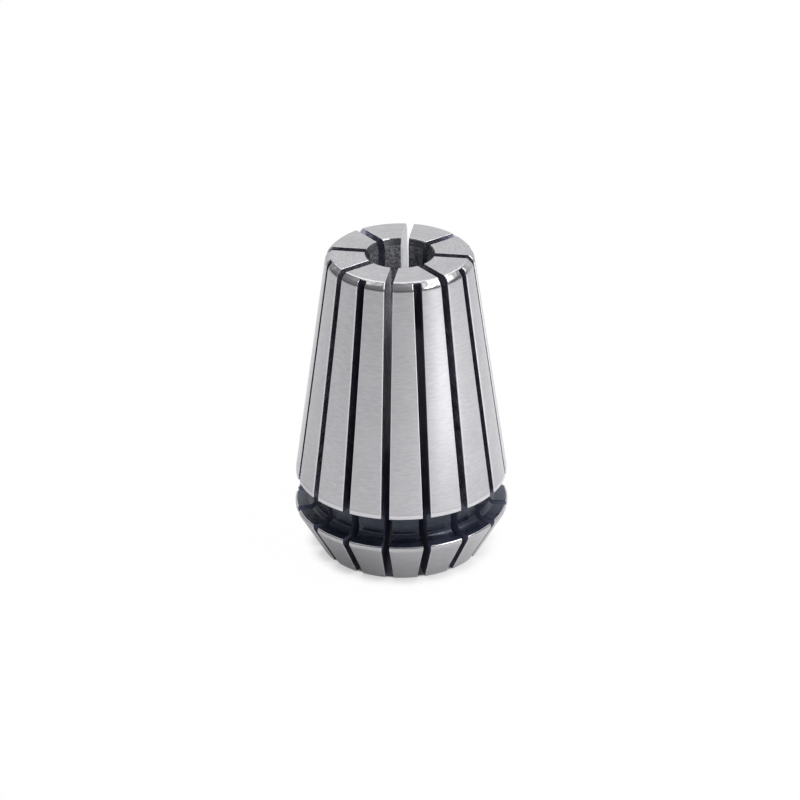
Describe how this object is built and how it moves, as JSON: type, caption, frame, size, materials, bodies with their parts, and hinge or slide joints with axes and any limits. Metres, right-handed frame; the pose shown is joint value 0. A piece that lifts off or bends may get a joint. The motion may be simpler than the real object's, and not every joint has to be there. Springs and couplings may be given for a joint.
{
  "type": "er collet",
  "caption": "Slit tapered steel collet that closes on a round shank, with a nose cone and a pull-out groove.",
  "frame": {"origin": "centre of the front face, the face at the large end that it stands on", "axes": "+Z along the axis from the front face to the small end; +X through one of the slots that are cut from the small end"},
  "size_m": [0.021, 0.021, 0.0315],
  "materials": {
    "collet_steel": "satin ground, blackened in the slots, groove and bore"
  },
  "bodies": {
    "root": {"collet": "collet_steel"}
  },
  "joints": []
}
